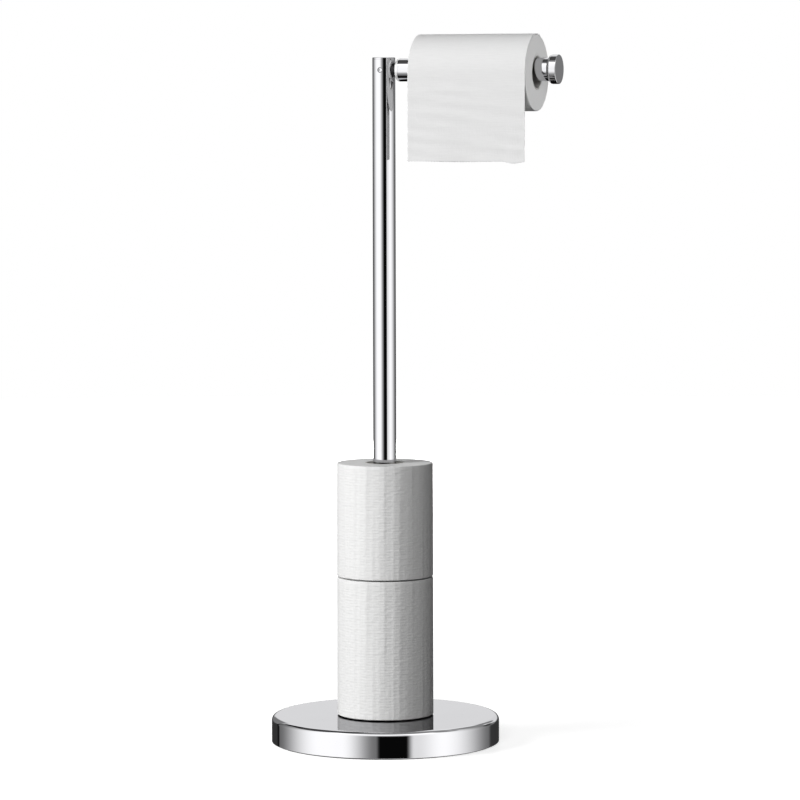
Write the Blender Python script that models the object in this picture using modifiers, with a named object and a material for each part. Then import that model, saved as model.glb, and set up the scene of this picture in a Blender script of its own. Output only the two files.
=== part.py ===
"""Freestanding toilet paper holder, with a roll on its arm and two spare rolls on its post.

Metres, +Z up. The origin is on the floor under the axis of the post, and the arm
points along +X. A weighted base is bolted to the foot of the post from below, and the
arm is a spigot in the cap of the post, held by a grub screw.
"""

import math

import bmesh
import bpy

# Fits
SEAT_GAP = 0.0003  # left between pieces that touch
BALLAST_PLAY = 0.0008  # round what drops loosely into the base
WELD_DISTANCE = 0.00001  # turned points nearer than this become one
CUT_OVERRUN = 0.004  # how far a cutter runs past the wall that it cuts

# Base
BASE_DIAMETER = 0.200
BASE_HEIGHT = 0.024  # floor to the flat top of the cover
BASE_EDGE_RADIUS = 0.0045
COVER_WALL = 0.0012
SKIRT_LIFT = 0.0010  # floor to the lower edge of the cover
PAD_THICKNESS = 0.0022
PAD_CHAMFER = 0.0005
BALLAST_PLATE = 0.0070  # iron left over the pocket
BALLAST_RIM = 0.0140
BALLAST_BOSS_DIAMETER = 0.0560
CASTING_DRAFT = 0.0015

# Bolt and washers
BOLT_DIAMETER = 0.008
BOLT_HEAD_FLATS = 0.013
BOLT_HEAD_HEIGHT = 0.0053
BOLT_HEAD_RECESS = 0.0008
BOLT_ENGAGEMENT = 0.016
LOCK_WASHER_DIAMETER = 0.0136
LOCK_WASHER_THICKNESS = 0.0020
LOCK_WASHER_SPLIT = 0.0015
WASHER_DIAMETER = 0.020
WASHER_THICKNESS = 0.0016
SEAT_WASHER_THICKNESS = 0.0008

# Post
POST_HEIGHT = 0.600  # floor to the top of the cap
POST_DIAMETER = 0.020
POST_WALL = 0.0015
CAP_THICKNESS = 0.0013
CAP_EDGE = 0.0004
PLUG_CHAMFER = 0.0006
PLUG_SIDE_WALL = 0.0019  # beside the cross bore
PLUG_END_WALL = 0.0040  # behind the cross bore
PLUG_LOWER_LAND = 0.0060  # under the cross bore
THREAD_RUNOUT = 0.0030
INSERT_END_WALL = 0.0040

# Arm
ARM_DIAMETER = 0.020
ARM_WALL = 0.0015
ARM_TOP_MARGIN = 0.0010  # top of the arm below the top of the post
COLLAR_STANDOFF = 0.0028  # post to collar
COLLAR_LENGTH = 0.0036
COLLAR_ROUND = 0.0020
ROOT_PLUG_LENGTH = 0.0180
GRUB_DIAMETER = 0.0040
GRUB_RECESS = 0.0002
GRUB_SOCKET_FLATS = 0.0020
GRUB_SOCKET_DEPTH = 0.0016
GRUB_POINT = 0.0006
STUD_DIAMETER = 0.006
STUD_CHAMFER = 0.0006
STUD_IN_ARM = 0.0100
STUD_IN_KNOB = 0.0055
STUD_RUNOUT = 0.0008
KNOB_RISE = 0.00265  # rim of the knob above the arm
KNOB_NECK = 0.0002
KNOB_SHOULDER = 0.0026
KNOB_RIM = 0.0054
KNOB_EDGE = 0.0005

# Roll on the arm and its loose sheet
ROLL_WIDTH = 0.106
ROLL_DIAMETER = 0.0658
ROLL_TO_POST = 0.0240
ROLL_TO_KNOB = 0.0115
ROLL_CORE_PLAY = 0.0006  # core over the rim of the knob
ROLL_CORE_WALL = 0.0010
SHEET_THICKNESS = 0.0006
SHEET_DROP = 0.0760  # axis of the roll to the lower edge
SHEET_WRAP_TURN_SHARE = 0.29
SHEET_RIPPLE = 0.0012
SHEET_RIPPLE_COUNT = 2
SHEET_CURL = 0.0028
SHEET_CURL_WIDTH_SHARE = 0.20
SHEET_DIP = 0.0016

# Spare rolls
SPARE_DIAMETER = 0.0844
SPARE_LOWER_HEIGHT = 0.1220
SPARE_UPPER_HEIGHT = 0.1000
SPARE_PLAY = 0.0060  # core round the post
SPARE_CORE_WALL = 0.0012
PAPER_EDGE = 0.0008

# Facets
COVER_STEPS = 80
BALLAST_STEPS = 48
ROLL_STEPS = 64
TUBE_STEPS = 40
SMALL_STEPS = 24
EDGE_STEPS = 4
SHEET_COLUMNS = 18
SHEET_ROWS = 24
SHARP_ANGLE = math.radians(35)

# Levels of the base and the bolt, from the floor up
base_radius = BASE_DIAMETER / 2
bolt_radius = BOLT_DIAMETER / 2
bolt_hole_radius = bolt_radius + SEAT_GAP
ballast_radius = base_radius - COVER_WALL - BALLAST_PLAY
ballast_low = PAD_THICKNESS + SEAT_GAP
ballast_high = BASE_HEIGHT - COVER_WALL - SEAT_GAP
head_low = ballast_low + BOLT_HEAD_RECESS
head_high = head_low + BOLT_HEAD_HEIGHT
lock_washer_low = head_high + SEAT_GAP
lock_washer_high = lock_washer_low + LOCK_WASHER_THICKNESS
washer_low = lock_washer_high + SEAT_GAP
washer_high = washer_low + WASHER_THICKNESS
counterbore_high = washer_high + SEAT_GAP
counterbore_radius = WASHER_DIAMETER / 2 + BALLAST_PLAY
seat_washer_low = BASE_HEIGHT + SEAT_GAP
seat_washer_high = seat_washer_low + SEAT_WASHER_THICKNESS

# Levels of the post
post_radius = POST_DIAMETER / 2
post_plug_radius = post_radius - POST_WALL - SEAT_GAP
post_low = seat_washer_high + SEAT_GAP
post_high = POST_HEIGHT - CAP_THICKNESS - SEAT_GAP
bolt_tip = post_low + BOLT_ENGAGEMENT
insert_hole_high = bolt_tip + THREAD_RUNOUT
insert_high = insert_hole_high + INSERT_END_WALL

# Stations along the arm, from the axis of the post
arm_radius = ARM_DIAMETER / 2
arm_plug_radius = arm_radius - ARM_WALL - SEAT_GAP
arm_height = POST_HEIGHT - ARM_TOP_MARGIN - arm_radius
cross_bore_radius = post_plug_radius - PLUG_SIDE_WALL
cross_bore_end = PLUG_END_WALL - post_plug_radius
cap_low = arm_height - cross_bore_radius - PLUG_LOWER_LAND
spigot_radius = cross_bore_radius - SEAT_GAP
spigot_end = cross_bore_end + SEAT_GAP
collar_start = post_radius + COLLAR_STANDOFF
collar_end = collar_start + COLLAR_LENGTH
arm_start = collar_end + SEAT_GAP
roll_start = post_radius + ROLL_TO_POST
roll_end = roll_start + ROLL_WIDTH
arm_end = roll_end + ROLL_TO_KNOB
knob_start = arm_end + SEAT_GAP
knob_shoulder_start = knob_start + KNOB_NECK
knob_rim_start = knob_shoulder_start + KNOB_SHOULDER
knob_end = knob_rim_start + KNOB_RIM
stud_radius = STUD_DIAMETER / 2
stud_hole_radius = stud_radius + SEAT_GAP
stud_start = arm_end - STUD_IN_ARM
stud_end = knob_start + STUD_IN_KNOB
tip_insert_start = stud_start - STUD_RUNOUT - INSERT_END_WALL

# Rolls
knob_radius = arm_radius + KNOB_RISE
roll_radius = ROLL_DIAMETER / 2
roll_bore_radius = knob_radius + ROLL_CORE_PLAY
roll_axis_height = arm_height + arm_radius + SEAT_GAP - roll_bore_radius
spare_low = BASE_HEIGHT + SEAT_GAP
spare_rise = SPARE_LOWER_HEIGHT + SEAT_GAP

# Finishes: colour, metallic, roughness
FINISHES = {
    "chrome": ((0.80, 0.81, 0.82), 1.0, 0.06),
    "cast_iron": ((0.07, 0.07, 0.07), 0.6, 0.75),
    "rubber": ((0.03, 0.03, 0.03), 0.0, 0.85),
    "zinc_plate": ((0.55, 0.56, 0.55), 1.0, 0.35),
    "brass": ((0.66, 0.50, 0.24), 1.0, 0.32),
    "nylon": ((0.72, 0.72, 0.70), 0.0, 0.50),
    "tissue": ((0.82, 0.82, 0.81), 0.0, 0.95),
    "core_board": ((0.62, 0.60, 0.56), 0.0, 0.90),
}


def empty_the_scene():
    """Remove what the opened file holds."""
    for old in list(bpy.data.objects):
        bpy.data.objects.remove(old, do_unlink=True)


def new_collection(name):
    """A collection under the scene's own."""
    collection = bpy.data.collections.new(name)
    bpy.context.scene.collection.children.link(collection)
    return collection


def new_material(node, finish):
    """A Principled material for one node, in one of the finishes."""
    colour, metallic, roughness = FINISHES[finish]
    material = bpy.data.materials.new(node + "_" + finish)
    material.use_nodes = True
    shader = material.node_tree.nodes["Principled BSDF"]
    shader.inputs["Base Color"].default_value = (*colour, 1.0)
    shader.inputs["Metallic"].default_value = metallic
    shader.inputs["Roughness"].default_value = roughness
    material.diffuse_color = (*colour, 1.0)
    return material


def new_line(name, location, along_x=False, parent=None):
    """An empty whose local Z is the axis that pieces are turned about."""
    line = bpy.data.objects.new(name, None)
    part_collection.objects.link(line)
    line.empty_display_size = post_radius
    line.parent = parent
    line.location = location
    if along_x:
        line.rotation_euler = (0, math.pi / 2, 0)
    return line


def add_piece(name, mesh, line, finish):
    """Link a mesh as one node of the part, on its line."""
    piece = bpy.data.objects.new(name, mesh)
    part_collection.objects.link(piece)
    piece.parent = line
    mesh.materials.append(new_material(name, finish))
    return piece


def evaluated_mesh(piece):
    """The piece's mesh as its modifiers leave it."""
    graph = bpy.context.evaluated_depsgraph_get()
    return bpy.data.meshes.new_from_object(piece.evaluated_get(graph))


def shade(mesh):
    """Smooth round faces, with the turned corners kept crisp."""
    mesh.shade_smooth()
    mesh.set_sharp_from_angle(angle=SHARP_ANGLE)


def turned(name, outline, line, finish, steps, closed=False, wall=0.0):
    """Turn an outline of (radius, height) points about the line's Z axis.

    The outline runs down its outer side. It is open where it starts and ends on the
    axis, closed round a bore, and left open with a wall to be given thickness inwards.
    """
    mesh = bpy.data.meshes.new(name)
    edges = [(i, i + 1) for i in range(len(outline) - 1)]
    if closed:
        edges.append((len(outline) - 1, 0))
    mesh.from_pydata([(radius, 0, height) for radius, height in outline], edges, [])
    piece = add_piece(name, mesh, line, finish)
    screw = piece.modifiers.new("Turn", "SCREW")
    screw.axis = "Z"
    screw.steps = steps
    screw.render_steps = steps
    screw.use_merge_vertices = True
    screw.merge_threshold = WELD_DISTANCE
    if wall:
        solidify = piece.modifiers.new("Wall", "SOLIDIFY")
        solidify.thickness = wall
        solidify.offset = -1
        solidify.use_even_offset = True
    piece.data = evaluated_mesh(piece)
    piece.modifiers.clear()
    bpy.data.meshes.remove(mesh)
    piece.data.name = name
    shade(piece.data)
    return piece


def quarter(centre, radial, axial, start, end):
    """Points of a quarter ellipse about a (radius, height) centre, between two angles."""
    angles = [start + (end - start) * i / EDGE_STEPS for i in range(EDGE_STEPS + 1)]
    return [(centre[0] + radial * math.cos(a), centre[1] + axial * math.sin(a)) for a in angles]


def add_cutter(name, shape, line):
    """Keep a finished bmesh on a line, to shape another piece."""
    mesh = bpy.data.meshes.new(name)
    shape.to_mesh(mesh)
    shape.free()
    cutter = bpy.data.objects.new(name, mesh)
    cutter_collection.objects.link(cutter)
    cutter.parent = line
    cutter.hide_render = True
    cutter.display_type = "WIRE"
    return cutter


def bar_cutter(name, sides, radius, low, high, line):
    """A bar of that many sides along the line's Z axis."""
    shape = bmesh.new()
    bmesh.ops.create_cone(
        shape, cap_ends=True, segments=sides, radius1=radius, radius2=radius, depth=high - low
    )
    bmesh.ops.translate(shape, verts=shape.verts, vec=(0, 0, (low + high) / 2))
    return add_cutter(name, shape, line)


def box_cutter(name, low, high, line):
    """A box between two corners."""
    shape = bmesh.new()
    bmesh.ops.create_cube(shape, size=1)
    size = [b - a for a, b in zip(low, high)]
    centre = [(a + b) / 2 for a, b in zip(low, high)]
    bmesh.ops.scale(shape, verts=shape.verts, vec=size)
    bmesh.ops.translate(shape, verts=shape.verts, vec=centre)
    return add_cutter(name, shape, line)


def combine(piece, other, operation):
    """A live Boolean of the piece with another shape."""
    boolean = piece.modifiers.new(other.name, "BOOLEAN")
    boolean.operation = operation
    boolean.solver = "EXACT"
    boolean.object = other


def hex_radius(flats):
    """Corner radius of a hexagon from its width across flats."""
    return flats / 2 / math.cos(math.pi / 6)


def ring(outer, inner, low, high):
    """Closed outline of a plain ring."""
    return [(outer, high), (outer, low), (inner, low), (inner, high)]


def paper_ring(outer, inner, low, high):
    """Closed outline of a wound roll, whose outer corners are slightly rounded."""
    shoulder = outer - PAPER_EDGE
    upper = quarter((shoulder, high - PAPER_EDGE), PAPER_EDGE, PAPER_EDGE, math.pi / 2, 0)
    lower = quarter((shoulder, low + PAPER_EDGE), PAPER_EDGE, PAPER_EDGE, 0, -math.pi / 2)
    return upper[::2] + lower[::2] + [(inner, low), (inner, high)]


def make_base():
    """Pad, ballast, cover, bolt and washers."""
    pad = [
        (0, PAD_THICKNESS),
        (ballast_radius, PAD_THICKNESS),
        (ballast_radius, PAD_CHAMFER),
        (ballast_radius - PAD_CHAMFER, 0),
        (0, 0),
    ]
    turned("anti_slip_pad", pad, stand, "rubber", BALLAST_STEPS)

    flat_radius = base_radius - BASE_EDGE_RADIUS
    edge_centre = (flat_radius, BASE_HEIGHT - BASE_EDGE_RADIUS)
    edge = quarter(edge_centre, BASE_EDGE_RADIUS, BASE_EDGE_RADIUS, math.pi / 2, 0)
    cover = [(bolt_hole_radius, BASE_HEIGHT), *edge, (base_radius, SKIRT_LIFT)]
    turned("base_cover", cover, stand, "chrome", COVER_STEPS, wall=COVER_WALL)

    # The pocket keeps the casting's walls even, and the boss carries the bolt
    corner_centre = (ballast_radius - BASE_EDGE_RADIUS, ballast_high - BASE_EDGE_RADIUS)
    corner = quarter(corner_centre, BASE_EDGE_RADIUS, BASE_EDGE_RADIUS, math.pi / 2, 0)
    pocket_high = ballast_high - BALLAST_PLATE
    pocket_outer = ballast_radius - BALLAST_RIM
    pocket_inner = BALLAST_BOSS_DIAMETER / 2
    ballast = [
        (bolt_hole_radius, ballast_high),
        *corner[::2],
        (ballast_radius, ballast_low),
        (pocket_outer, ballast_low),
        (pocket_outer - CASTING_DRAFT, pocket_high),
        (pocket_inner + CASTING_DRAFT, pocket_high),
        (pocket_inner, ballast_low),
        (counterbore_radius, ballast_low),
        (counterbore_radius, counterbore_high),
        (bolt_hole_radius, counterbore_high),
    ]
    turned("base_weight", ballast, stand, "cast_iron", BALLAST_STEPS, closed=True)

    shank = [
        (0, bolt_tip),
        (bolt_radius - PLUG_CHAMFER, bolt_tip),
        (bolt_radius, bolt_tip - PLUG_CHAMFER),
        (bolt_radius, head_low),
        (0, head_low),
    ]
    bolt = turned("base_bolt", shank, stand, "zinc_plate", SMALL_STEPS)
    head = bar_cutter("bolt_head", 6, hex_radius(BOLT_HEAD_FLATS), head_low, head_high, stand)
    combine(bolt, head, "UNION")

    lock_ring = ring(LOCK_WASHER_DIAMETER / 2, bolt_hole_radius, lock_washer_low, lock_washer_high)
    lock_washer = turned("lock_washer", lock_ring, stand, "zinc_plate", SMALL_STEPS, closed=True)
    split_low = (0, -LOCK_WASHER_SPLIT / 2, lock_washer_low - CUT_OVERRUN)
    split_high = (
        LOCK_WASHER_DIAMETER / 2 + CUT_OVERRUN,
        LOCK_WASHER_SPLIT / 2,
        lock_washer_high + CUT_OVERRUN,
    )
    split = box_cutter("washer_split", split_low, split_high, stand)
    combine(lock_washer, split, "DIFFERENCE")

    washer = ring(WASHER_DIAMETER / 2, bolt_hole_radius, washer_low, washer_high)
    turned("base_washer", washer, stand, "zinc_plate", SMALL_STEPS, closed=True)

    seat = ring(post_radius, bolt_hole_radius, seat_washer_low, seat_washer_high)
    turned("post_seat_washer", seat, stand, "nylon", TUBE_STEPS, closed=True)


def make_post():
    """Tube, foot insert, bored cap and grub screw."""
    tube = ring(post_radius, post_radius - POST_WALL, post_low, post_high)
    post = turned("post_tube", tube, stand, "chrome", TUBE_STEPS, closed=True)

    insert = [
        (0, insert_high),
        (post_plug_radius - PLUG_CHAMFER, insert_high),
        (post_plug_radius, insert_high - PLUG_CHAMFER),
        (post_plug_radius, post_low),
        (bolt_hole_radius, post_low),
        (bolt_hole_radius, insert_hole_high),
        (0, insert_hole_high),
    ]
    turned("post_foot_insert", insert, stand, "brass", TUBE_STEPS)

    flange_low = POST_HEIGHT - CAP_THICKNESS
    cap_outline = [
        (0, POST_HEIGHT),
        (post_radius - CAP_EDGE, POST_HEIGHT),
        (post_radius, POST_HEIGHT - CAP_EDGE),
        (post_radius, flange_low),
        (post_plug_radius, flange_low),
        (post_plug_radius, cap_low + PLUG_CHAMFER),
        (post_plug_radius - PLUG_CHAMFER, cap_low),
        (0, cap_low),
    ]
    cap = turned("post_cap", cap_outline, stand, "chrome", TUBE_STEPS)

    # One bore takes the spigot of the arm through the tube and into the cap
    bore_reach = post_radius + CUT_OVERRUN
    bore = bar_cutter(
        "cross_bore", TUBE_STEPS, cross_bore_radius, cross_bore_end, bore_reach, arm_line
    )
    grub_line = new_line("grub_line", (0, 0, arm_height), parent=stand)
    grub_line.rotation_euler = (math.pi / 2, 0, 0)
    grub_radius = GRUB_DIAMETER / 2
    grub_hole = bar_cutter(
        "grub_hole", SMALL_STEPS, grub_radius + SEAT_GAP, 0, bore_reach, grub_line
    )
    for piece in (post, cap):
        combine(piece, bore, "DIFFERENCE")
        combine(piece, grub_hole, "DIFFERENCE")

    grub_high = post_radius - GRUB_RECESS
    grub_outline = [
        (0, grub_high),
        (grub_radius, grub_high),
        (grub_radius, cross_bore_radius + GRUB_POINT),
        (grub_radius - GRUB_POINT, cross_bore_radius),
        (0, cross_bore_radius),
    ]
    grub = turned("grub_screw", grub_outline, grub_line, "zinc_plate", SMALL_STEPS)
    socket = bar_cutter(
        "grub_socket",
        6,
        hex_radius(GRUB_SOCKET_FLATS),
        grub_high - GRUB_SOCKET_DEPTH,
        grub_high + CUT_OVERRUN,
        grub_line,
    )
    combine(grub, socket, "DIFFERENCE")


def make_arm():
    """Root plug, tube, tip insert, stud and knob."""
    plug_end = collar_end + ROOT_PLUG_LENGTH
    round_centre = (arm_radius - COLLAR_ROUND, collar_start + COLLAR_ROUND)
    root = [
        (0, plug_end),
        (arm_plug_radius - PLUG_CHAMFER, plug_end),
        (arm_plug_radius, plug_end - PLUG_CHAMFER),
        (arm_plug_radius, collar_end),
        (arm_radius, collar_end),
        *quarter(round_centre, COLLAR_ROUND, COLLAR_ROUND, 0, -math.pi / 2),
        (spigot_radius, collar_start),
        (spigot_radius, spigot_end + PLUG_CHAMFER),
        (spigot_radius - PLUG_CHAMFER, spigot_end),
        (0, spigot_end),
    ]
    turned("arm_root_plug", root, arm_line, "chrome", TUBE_STEPS)

    tube = ring(arm_radius, arm_radius - ARM_WALL, arm_start, arm_end)
    turned("arm_tube", tube, arm_line, "chrome", TUBE_STEPS, closed=True)

    hole_end = stud_start - STUD_RUNOUT
    insert = [
        (0, hole_end),
        (stud_hole_radius, hole_end),
        (stud_hole_radius, arm_end),
        (arm_plug_radius, arm_end),
        (arm_plug_radius, tip_insert_start + PLUG_CHAMFER),
        (arm_plug_radius - PLUG_CHAMFER, tip_insert_start),
        (0, tip_insert_start),
    ]
    turned("arm_tip_insert", insert, arm_line, "brass", TUBE_STEPS)

    stud = [
        (0, stud_end),
        (stud_radius - STUD_CHAMFER, stud_end),
        (stud_radius, stud_end - STUD_CHAMFER),
        (stud_radius, stud_start + STUD_CHAMFER),
        (stud_radius - STUD_CHAMFER, stud_start),
        (0, stud_start),
    ]
    turned("knob_stud", stud, arm_line, "zinc_plate", SMALL_STEPS)

    shoulder = quarter((arm_radius, knob_rim_start), KNOB_RISE, KNOB_SHOULDER, 0, -math.pi / 2)
    knob_hole_end = stud_end + STUD_RUNOUT
    knob = [
        (0, knob_end),
        (knob_radius - KNOB_EDGE, knob_end),
        (knob_radius, knob_end - KNOB_EDGE),
        *shoulder,
        (arm_radius, knob_start),
        (stud_hole_radius, knob_start),
        (stud_hole_radius, knob_hole_end),
        (0, knob_hole_end),
    ]
    turned("arm_knob", knob, arm_line, "chrome", TUBE_STEPS)


def make_roll(name, line, outer, bore, wall, low, high):
    """A wound roll and its core, on one line."""
    core = ring(bore + wall, bore, low, high)
    paper = paper_ring(outer, bore + wall + SEAT_GAP, low, high)
    turned(name + "_core", core, line, "core_board", TUBE_STEPS, closed=True)
    turned(name + "_paper", paper, line, "tissue", ROLL_STEPS, closed=True)


def make_spare(name, line, height):
    """A spare roll that stands on its line's origin, round the post."""
    make_roll(name, line, SPARE_DIAMETER / 2, post_radius + SPARE_PLAY, SPARE_CORE_WALL, 0, height)


def sheet_point(across, along):
    """Place of one point of the loose sheet, from its shares across and along.

    The sheet follows the roll from behind its top to its front, then hangs straight.
    The hanging part ripples towards its lower edge, and its outer corner curls and dips.
    """
    inner_radius = roll_radius + SEAT_GAP
    wrap = math.tau * SHEET_WRAP_TURN_SHARE
    wrapped = inner_radius * wrap
    run = along * (wrapped + SHEET_DROP)
    x = roll_start + across * ROLL_WIDTH
    if run < wrapped:
        angle = wrap - run / inner_radius
        return (x, -inner_radius * math.cos(angle), inner_radius * math.sin(angle))
    hung = run - wrapped
    free = (hung / SHEET_DROP) ** 2
    corner = max(0.0, (across - 1 + SHEET_CURL_WIDTH_SHARE) / SHEET_CURL_WIDTH_SHARE)
    ripple = SHEET_RIPPLE * (1 - math.cos(math.tau * SHEET_RIPPLE_COUNT * across)) / 2
    out = free * (ripple + SHEET_CURL * corner**2)
    dip = free * SHEET_DIP * math.sin(math.pi * corner / 2)
    return (x, -inner_radius - out, -hung - dip)


def make_sheet():
    """The loose sheet: a grid laid over the roll and given its thickness outwards."""
    shape = bmesh.new()
    bmesh.ops.create_grid(shape, x_segments=SHEET_COLUMNS, y_segments=SHEET_ROWS, size=1)
    for vert in shape.verts:
        vert.co = sheet_point((vert.co.x + 1) / 2, (1 - vert.co.y) / 2)
    mesh = bpy.data.meshes.new("hanging_sheet")
    shape.to_mesh(mesh)
    shape.free()
    sheet = add_piece("hanging_sheet", mesh, stand, "tissue")
    sheet.location = (0, 0, roll_axis_height)
    solidify = sheet.modifiers.new("Thickness", "SOLIDIFY")
    solidify.thickness = SHEET_THICKNESS
    solidify.offset = 1
    solidify.use_even_offset = True
    shade(mesh)


empty_the_scene()
part_collection = new_collection("toilet_paper_holder")
cutter_collection = new_collection("cutters")

stand = new_line("stand", (0, 0, 0))
arm_line = new_line("arm_line", (0, 0, arm_height), along_x=True, parent=stand)
roll_line = new_line("roll_line", (0, 0, roll_axis_height), along_x=True, parent=stand)
spare_lower_line = new_line("spare_lower_line", (0, 0, spare_low), parent=stand)
spare_upper_line = new_line("spare_upper_line", (0, 0, spare_rise), parent=spare_lower_line)

make_base()
make_post()
make_arm()
make_roll(
    "arm_roll", roll_line, roll_radius, roll_bore_radius, ROLL_CORE_WALL, roll_start, roll_end
)
make_sheet()
make_spare("spare_lower", spare_lower_line, SPARE_LOWER_HEIGHT)
make_spare("spare_upper", spare_upper_line, SPARE_UPPER_HEIGHT)
bpy.context.view_layer.update()
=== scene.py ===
"""A freestanding toilet paper holder of polished chrome, with its three rolls.

The sections follow the stand as it is put together, from the pad under the base to the
paper, and the studio comes last. Metres, +Z up, the arm along +X.
"""

import math

import bmesh
import bpy
import numpy as np
from mathutils import Matrix, Vector


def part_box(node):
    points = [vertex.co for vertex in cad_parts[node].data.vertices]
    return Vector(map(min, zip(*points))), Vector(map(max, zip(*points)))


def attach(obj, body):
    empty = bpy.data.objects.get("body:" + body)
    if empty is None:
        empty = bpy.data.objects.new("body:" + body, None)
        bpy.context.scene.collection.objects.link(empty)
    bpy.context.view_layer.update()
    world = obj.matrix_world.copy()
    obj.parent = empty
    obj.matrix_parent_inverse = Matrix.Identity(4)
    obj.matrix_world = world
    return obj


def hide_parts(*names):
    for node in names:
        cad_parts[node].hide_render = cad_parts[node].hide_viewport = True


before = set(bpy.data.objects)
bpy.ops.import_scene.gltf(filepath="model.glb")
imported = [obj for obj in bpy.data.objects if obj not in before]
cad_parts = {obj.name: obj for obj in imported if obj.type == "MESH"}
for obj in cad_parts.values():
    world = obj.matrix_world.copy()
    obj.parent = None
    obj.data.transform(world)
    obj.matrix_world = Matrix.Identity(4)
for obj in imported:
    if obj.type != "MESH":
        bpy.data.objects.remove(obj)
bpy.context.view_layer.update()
MM = 0.001


# Anti-slip pad
# A disc of black nitrile rubber, pressed in a mould whose floor was sand-blasted, and
# glued under the weight. It is dull, nearly black, and faintly grained.

def linear(hex_colour):
    """An sRGB hex colour as linear light: each channel goes through the sRGB curve."""
    channels = np.array([int(hex_colour[i:i + 2], 16) for i in (1, 3, 5)]) / 255
    curved = np.where(channels > 0.04045, ((channels + 0.055) / 1.055) ** 2.4, channels / 12.92)
    return (*curved, 1.0)


def add_node(tree, kind, settings=(), links=()):
    """Add one node. A setting is an attribute or an input, and a link feeds an input."""
    node = tree.nodes.new("ShaderNode" + kind)
    for name, value in dict(settings).items():
        if isinstance(name, str) and hasattr(node, name):
            setattr(node, name, value)
        else:
            node.inputs[name].default_value = value
    for name, output in dict(links).items():
        tree.links.new(output, node.inputs[name])
    return node


def new_material(name, colour, metallic, roughness):
    """A Principled material, with what is the same all over set on the shader itself."""
    material = bpy.data.materials.new(name)
    material.use_nodes = True
    shader = material.node_tree.nodes["Principled BSDF"]
    shader.inputs["Base Color"].default_value = linear(colour)
    shader.inputs["Metallic"].default_value = metallic
    shader.inputs["Roughness"].default_value = roughness
    return material, material.node_tree, shader


def grained(name, colours, metallic, roughness, grain, depth, detail=3.0):
    """A finish whose colour, roughness and bump all follow one noise of the given grain.

    The noise runs over Object coordinates, so its scale is one over the grain's size.
    """
    material, tree, shader = new_material(name, colours[0], metallic, roughness[0])
    place = add_node(tree, "TexCoord")
    noise = add_node(
        tree, "TexNoise", {"Scale": 1 / grain, "Detail": detail},
        {"Vector": place.outputs["Object"]},
    )
    tint = add_node(
        tree, "Mix", {"data_type": "RGBA", 6: linear(colours[0]), 7: linear(colours[1])},
        {0: noise.outputs["Fac"]},
    )
    gloss = add_node(
        tree, "MapRange", {"To Min": roughness[0], "To Max": roughness[1]},
        {"Value": noise.outputs["Fac"]},
    )
    bump = add_node(
        tree, "Bump", {"Distance": depth}, {"Height": noise.outputs["Fac"]}
    )
    tree.links.new(tint.outputs[2], shader.inputs["Base Color"])
    tree.links.new(gloss.outputs["Result"], shader.inputs["Roughness"])
    tree.links.new(bump.outputs["Normal"], shader.inputs["Normal"])
    return material


def finish_node(name, material):
    """Give a CAD node that stays as it is its finish."""
    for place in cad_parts[name].material_slots:
        place.material = material


nitrile_rubber = grained(
    "nitrile_rubber_moulded", ("#1B1B1C", "#26262A"), 0.0, (0.72, 0.92), 0.9 * MM, 0.05 * MM
)
finish_node("anti_slip_pad", nitrile_rubber)


# Weight
# A disc of grey cast iron, poured in sand and left with a coat of black wash. The sand
# gives it a coarse grain and darker pits. It lies unseen between the pad and the cover.

cast_iron = grained(
    "cast_iron_black_washed", ("#242425", "#4A4946"), 0.6, (0.60, 0.88), 1.6 * MM, 0.25 * MM
)
finish_node("base_weight", cast_iron)


# Bolt and washers
# An M8 bolt with a spring washer and a flat one, of steel with bright zinc plate. It is
# turned home from below and pulls the post down on the cover.

zinc_plate = grained(
    "steel_zinc_plated", ("#B9BCBE", "#CDD0D3"), 1.0, (0.28, 0.42), 2.5 * MM, 0.01 * MM
)
for name in ("base_bolt", "lock_washer", "base_washer"):
    finish_node(name, zinc_plate)


# Base cover
# A dish of sheet steel, drawn over the weight in one press stroke, polished and then
# plated with bright nickel and chrome. Only its drawn edge is round: the rest is flat.

WELD_DISTANCE = 0.001 * MM
SHARP_ANGLE = math.radians(40)
INSET = 0.1 * MM
SHORTEST_STRAIGHT = 0.8 * MM


def surface(name, points, uv=None):
    """A mesh over a grid of points, with one face between each four neighbours.

    Points that lie together, at a pole or along the seam of a closed shape, become one,
    and the faces of a closed shape are then turned outwards.
    """
    rows, columns = points.shape[:2]
    index = np.arange(rows * columns).reshape(rows, columns)
    corners = np.stack([index[:-1, :-1], index[1:, :-1], index[1:, 1:], index[:-1, 1:]], -1)
    mesh = bpy.data.meshes.new(name)
    mesh.from_pydata(points.reshape(-1, 3), [], corners.reshape(-1, 4))
    if uv is not None:
        layer = mesh.uv_layers.new(name="UVMap")
        layer.data.foreach_set("uv", uv.reshape(-1, 2)[corners.ravel()].ravel())
    welded = bmesh.new()
    welded.from_mesh(mesh)
    bmesh.ops.remove_doubles(welded, verts=welded.verts, dist=WELD_DISTANCE)
    if not any(edge.is_boundary for edge in welded.edges):
        bmesh.ops.recalc_face_normals(welded, faces=welded.faces)
    welded.to_mesh(mesh)
    welded.free()
    mesh.shade_smooth()
    mesh.set_sharp_from_angle(angle=SHARP_ANGLE)
    piece = bpy.data.objects.new(name, mesh)
    bpy.context.scene.collection.objects.link(piece)
    return piece


def arc(centre, radii, start, end, count=9):
    """Points of a profile on an ellipse: centre plus radii times cosine and sine."""
    angle = np.radians(np.linspace(start, end, count))[:, None]
    return np.array(centre) + np.array(radii) * np.concatenate([np.cos(angle), np.sin(angle)], 1)


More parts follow.
